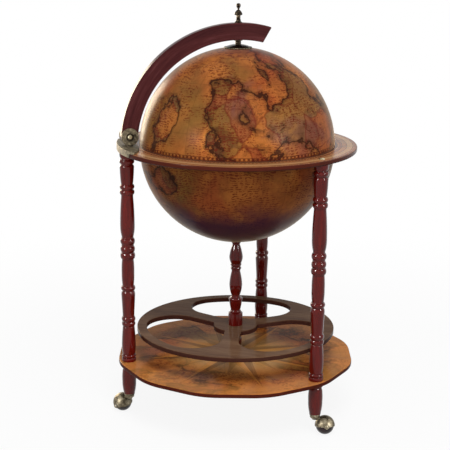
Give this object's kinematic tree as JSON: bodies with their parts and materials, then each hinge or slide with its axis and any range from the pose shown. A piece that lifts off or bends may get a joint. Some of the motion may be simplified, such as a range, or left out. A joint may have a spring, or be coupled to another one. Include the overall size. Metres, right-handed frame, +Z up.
{
  "type": "rolling globe bar cabinet",
  "caption": "Floor-standing globe bar: a hinged globe lid over a bottle tray, on turned legs with a bottle rack, a lower shelf and ball casters.",
  "frame": {"origin": "on the floor, on the stand's centre line, under the middle of the globe", "axes": "+Z up; one leg stands straight behind at +Y and the other two left and right in front, so the front faces -Y; the arm that carries the lid is hinged over the left front leg and lies in the upright plane through that leg, 30 degrees from the XZ plane"},
  "size_m": [0.4988, 0.4988, 0.8535],
  "materials": {
    "dark_wood": "dark cherry stain under high-gloss lacquer",
    "rack_wood": "brown stain under high-gloss lacquer",
    "map_board": "antique map print on board under high-gloss lacquer",
    "plain_wood": "plain sanded beech, unlacquered",
    "map_shell": "pressed board with an antique map print under high-gloss lacquer",
    "antique_brass": "dark antique brass, half gloss",
    "bright_brass": "pale bright brass plating, polished",
    "steel": "zinc-plated steel",
    "caster_ball": "dark brown moulded nylon, soft sheen",
    "nylon": "natural nylon",
    "tray_wood": "dark cherry stain, satin"
  },
  "bodies": {
    "stand": {"shelf_board": "map_board", "leg_1": "dark_wood", "leg_2": "dark_wood", "leg_3": "dark_wood", "stub_foot_1": "dark_wood", "stub_foot_2": "dark_wood", "stub_foot_3": "dark_wood", "leg_studs": "steel", "bottle_rack": "rack_wood", "lower_post": "dark_wood", "upper_spindle": "dark_wood", "tie_rod": "steel", "tie_washers": "steel", "tie_nuts": "steel", "horizon_ring": "map_board", "ring_screws": "steel", "screw_covers": "antique_brass", "lower_bowl": "map_shell", "bowl_pad": "plain_wood", "tray_floor": "tray_wood", "bottle_tray": "tray_wood", "hinge_saddle": "antique_brass", "hinge_pin": "antique_brass", "hinge_nut": "antique_brass", "saddle_screws": "steel", "caster_socket_1": "bright_brass", "caster_socket_2": "bright_brass", "caster_socket_3": "bright_brass"},
    "arm": {"meridian_arm": "dark_wood", "arm_bush": "nylon", "hinge_washers": "nylon", "pole_rod": "steel", "finial": "antique_brass", "thrust_washer": "antique_brass", "pole_washer": "steel", "pole_nut": "steel"},
    "lid": {"lid_shell": "map_shell", "lid_pad": "plain_wood", "pole_cap": "antique_brass"},
    "swivel_1": {"caster_stem_1": "steel", "caster_hood_1": "bright_brass", "caster_axle_1": "steel"},
    "wheel_1": {"caster_wheel_1": "caster_ball"},
    "swivel_2": {"caster_stem_2": "steel", "caster_hood_2": "bright_brass", "caster_axle_2": "steel"},
    "wheel_2": {"caster_wheel_2": "caster_ball"},
    "swivel_3": {"caster_stem_3": "steel", "caster_hood_3": "bright_brass", "caster_axle_3": "steel"},
    "wheel_3": {"caster_wheel_3": "caster_ball"}
  },
  "joints": [
    {"name": "lid_hinge", "type": "hinge", "parent": "stand", "child": "arm", "pos_m": [-0.19489, -0.11252, 0.5928], "axis": [0.5, -0.866, 0], "range_deg": [0, 95]},
    {"name": "lid_spin", "type": "hinge", "parent": "arm", "child": "lid", "pos_m": [0, 0, 0.7], "axis": [0, 0, 1], "continuous": true},
    {"name": "caster_1_swivel", "type": "hinge", "parent": "stand", "child": "swivel_1", "pos_m": [-0.19919, -0.115, 0.045], "axis": [0, 0, 1], "continuous": true},
    {"name": "caster_1_roll", "type": "hinge", "parent": "swivel_1", "child": "wheel_1", "pos_m": [-0.21773, -0.10514, 0.0184], "axis": [-0.4592, -0.8637, -0.2079], "continuous": true},
    {"name": "caster_2_swivel", "type": "hinge", "parent": "stand", "child": "swivel_2", "pos_m": [0.19919, -0.115, 0.045], "axis": [0, 0, 1], "continuous": true},
    {"name": "caster_2_roll", "type": "hinge", "parent": "swivel_2", "child": "wheel_2", "pos_m": [0.21866, -0.10713, 0.0184], "axis": [-0.3664, 0.9069, -0.2079], "continuous": true},
    {"name": "caster_3_swivel", "type": "hinge", "parent": "stand", "child": "swivel_3", "pos_m": [0, 0.23, 0.045], "axis": [0, 0, 1], "continuous": true},
    {"name": "caster_3_roll", "type": "hinge", "parent": "swivel_3", "child": "wheel_3", "pos_m": [-0.01205, 0.2128, 0.0184], "axis": [0.8013, -0.561, -0.2079], "continuous": true}
  ]
}
